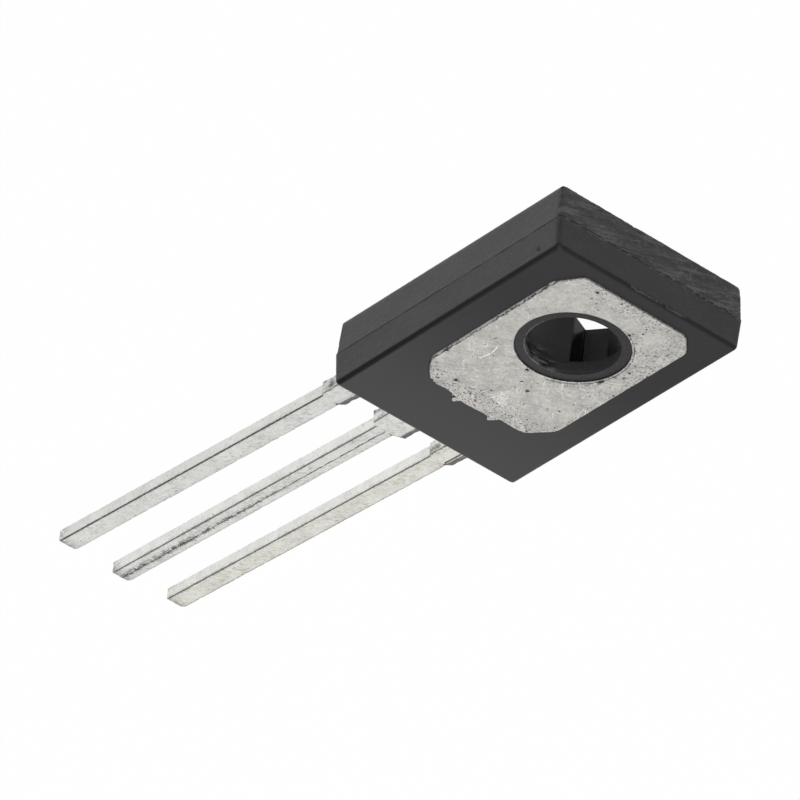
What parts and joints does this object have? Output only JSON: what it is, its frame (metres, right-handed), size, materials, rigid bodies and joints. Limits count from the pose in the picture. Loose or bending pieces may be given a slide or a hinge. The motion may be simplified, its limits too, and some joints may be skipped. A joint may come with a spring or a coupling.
{
  "type": "npn transistor",
  "caption": "Flat moulded power transistor with an exposed metal mounting tab, a screw hole through the body and parallel in-line leads.",
  "frame": {"origin": "on the screw hole's axis, in the plane of the tab's mounting face", "axes": "+Z out of the tab's mounting face, +Y towards the end without leads, +X across the body; the leads run towards -Y and the part lies on its front face, which looks towards -Z"},
  "size_m": [0.0077, 0.0264, 0.0025],
  "materials": {
    "moulding": "filled epoxy moulding compound, fine matt grain",
    "tinned_metal": "tin-plated copper alloy, dull, with pits and scratches",
    "silicon": "polished silicon, dark grey",
    "solder": "dull solder",
    "bond_wire": "bright drawn wire"
  },
  "bodies": {
    "root": {"body_moulding": "moulding", "collector_tab": "tinned_metal", "base_lead": "tinned_metal", "emitter_lead": "tinned_metal", "silicon_die": "silicon", "die_attach": "solder", "base_wire": "bond_wire", "emitter_wire": "bond_wire"}
  },
  "joints": []
}
